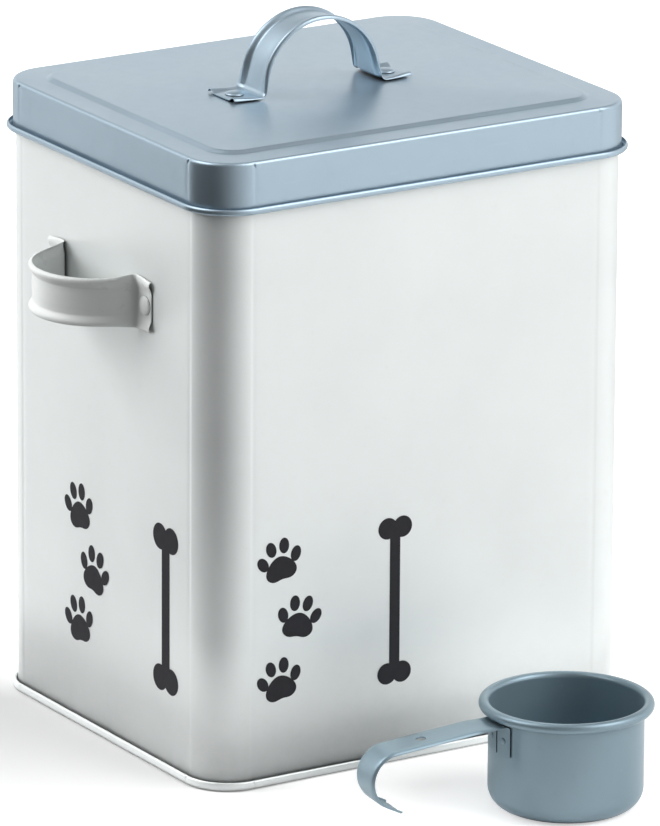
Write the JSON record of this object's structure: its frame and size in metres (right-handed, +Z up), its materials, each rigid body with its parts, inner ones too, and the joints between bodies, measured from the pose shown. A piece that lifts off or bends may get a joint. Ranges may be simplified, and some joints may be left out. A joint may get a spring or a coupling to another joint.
{
  "type": "pet food bin",
  "caption": "Rectangular sheet-metal food bin with a lift-off lid, riveted strap handles and a separate hook-handled scoop.",
  "frame": {"origin": "on the floor, at the middle of the bin's base", "axes": "+Z up; -Y out of the wide front wall; +X along the front wall to the bin's right-hand side as seen from the front"},
  "size_m": [0.3124, 0.3475, 0.354],
  "materials": {
    "bin_paint": "satin off-white powder coat",
    "handle_paint": "satin off-white powder coat, a little greyer than the wall",
    "lid_paint": "satin blue-grey paint with a slight metallic sheen",
    "scoop_paint": "satin blue-grey paint, darker than the lid"
  },
  "bodies": {
    "bin": {"body_shell": "bin_paint", "base_pan": "bin_paint", "side_handle_left": "handle_paint", "side_handle_left_rivet_front": "handle_paint", "side_handle_left_rivet_rear": "handle_paint", "side_handle_right": "handle_paint", "side_handle_right_rivet_front": "handle_paint", "side_handle_right_rivet_rear": "handle_paint"},
    "lid": {"lid_pan": "lid_paint", "lid_handle": "lid_paint", "lid_handle_rivet_left": "lid_paint", "lid_handle_rivet_right": "lid_paint"},
    "scoop": {"scoop_cup": "scoop_paint", "scoop_handle": "scoop_paint", "scoop_rivet_left": "scoop_paint", "scoop_rivet_right": "scoop_paint"}
  },
  "joints": [
    {"name": "lid_lift", "type": "slide", "parent": "bin", "child": "lid", "axis": [0, 0, 1], "range_m": [0, 0.2]},
    {"name": "scoop_lift", "type": "slide", "parent": "bin", "child": "scoop", "axis": [0, 0, 1], "range_m": [0, 0.2]}
  ]
}
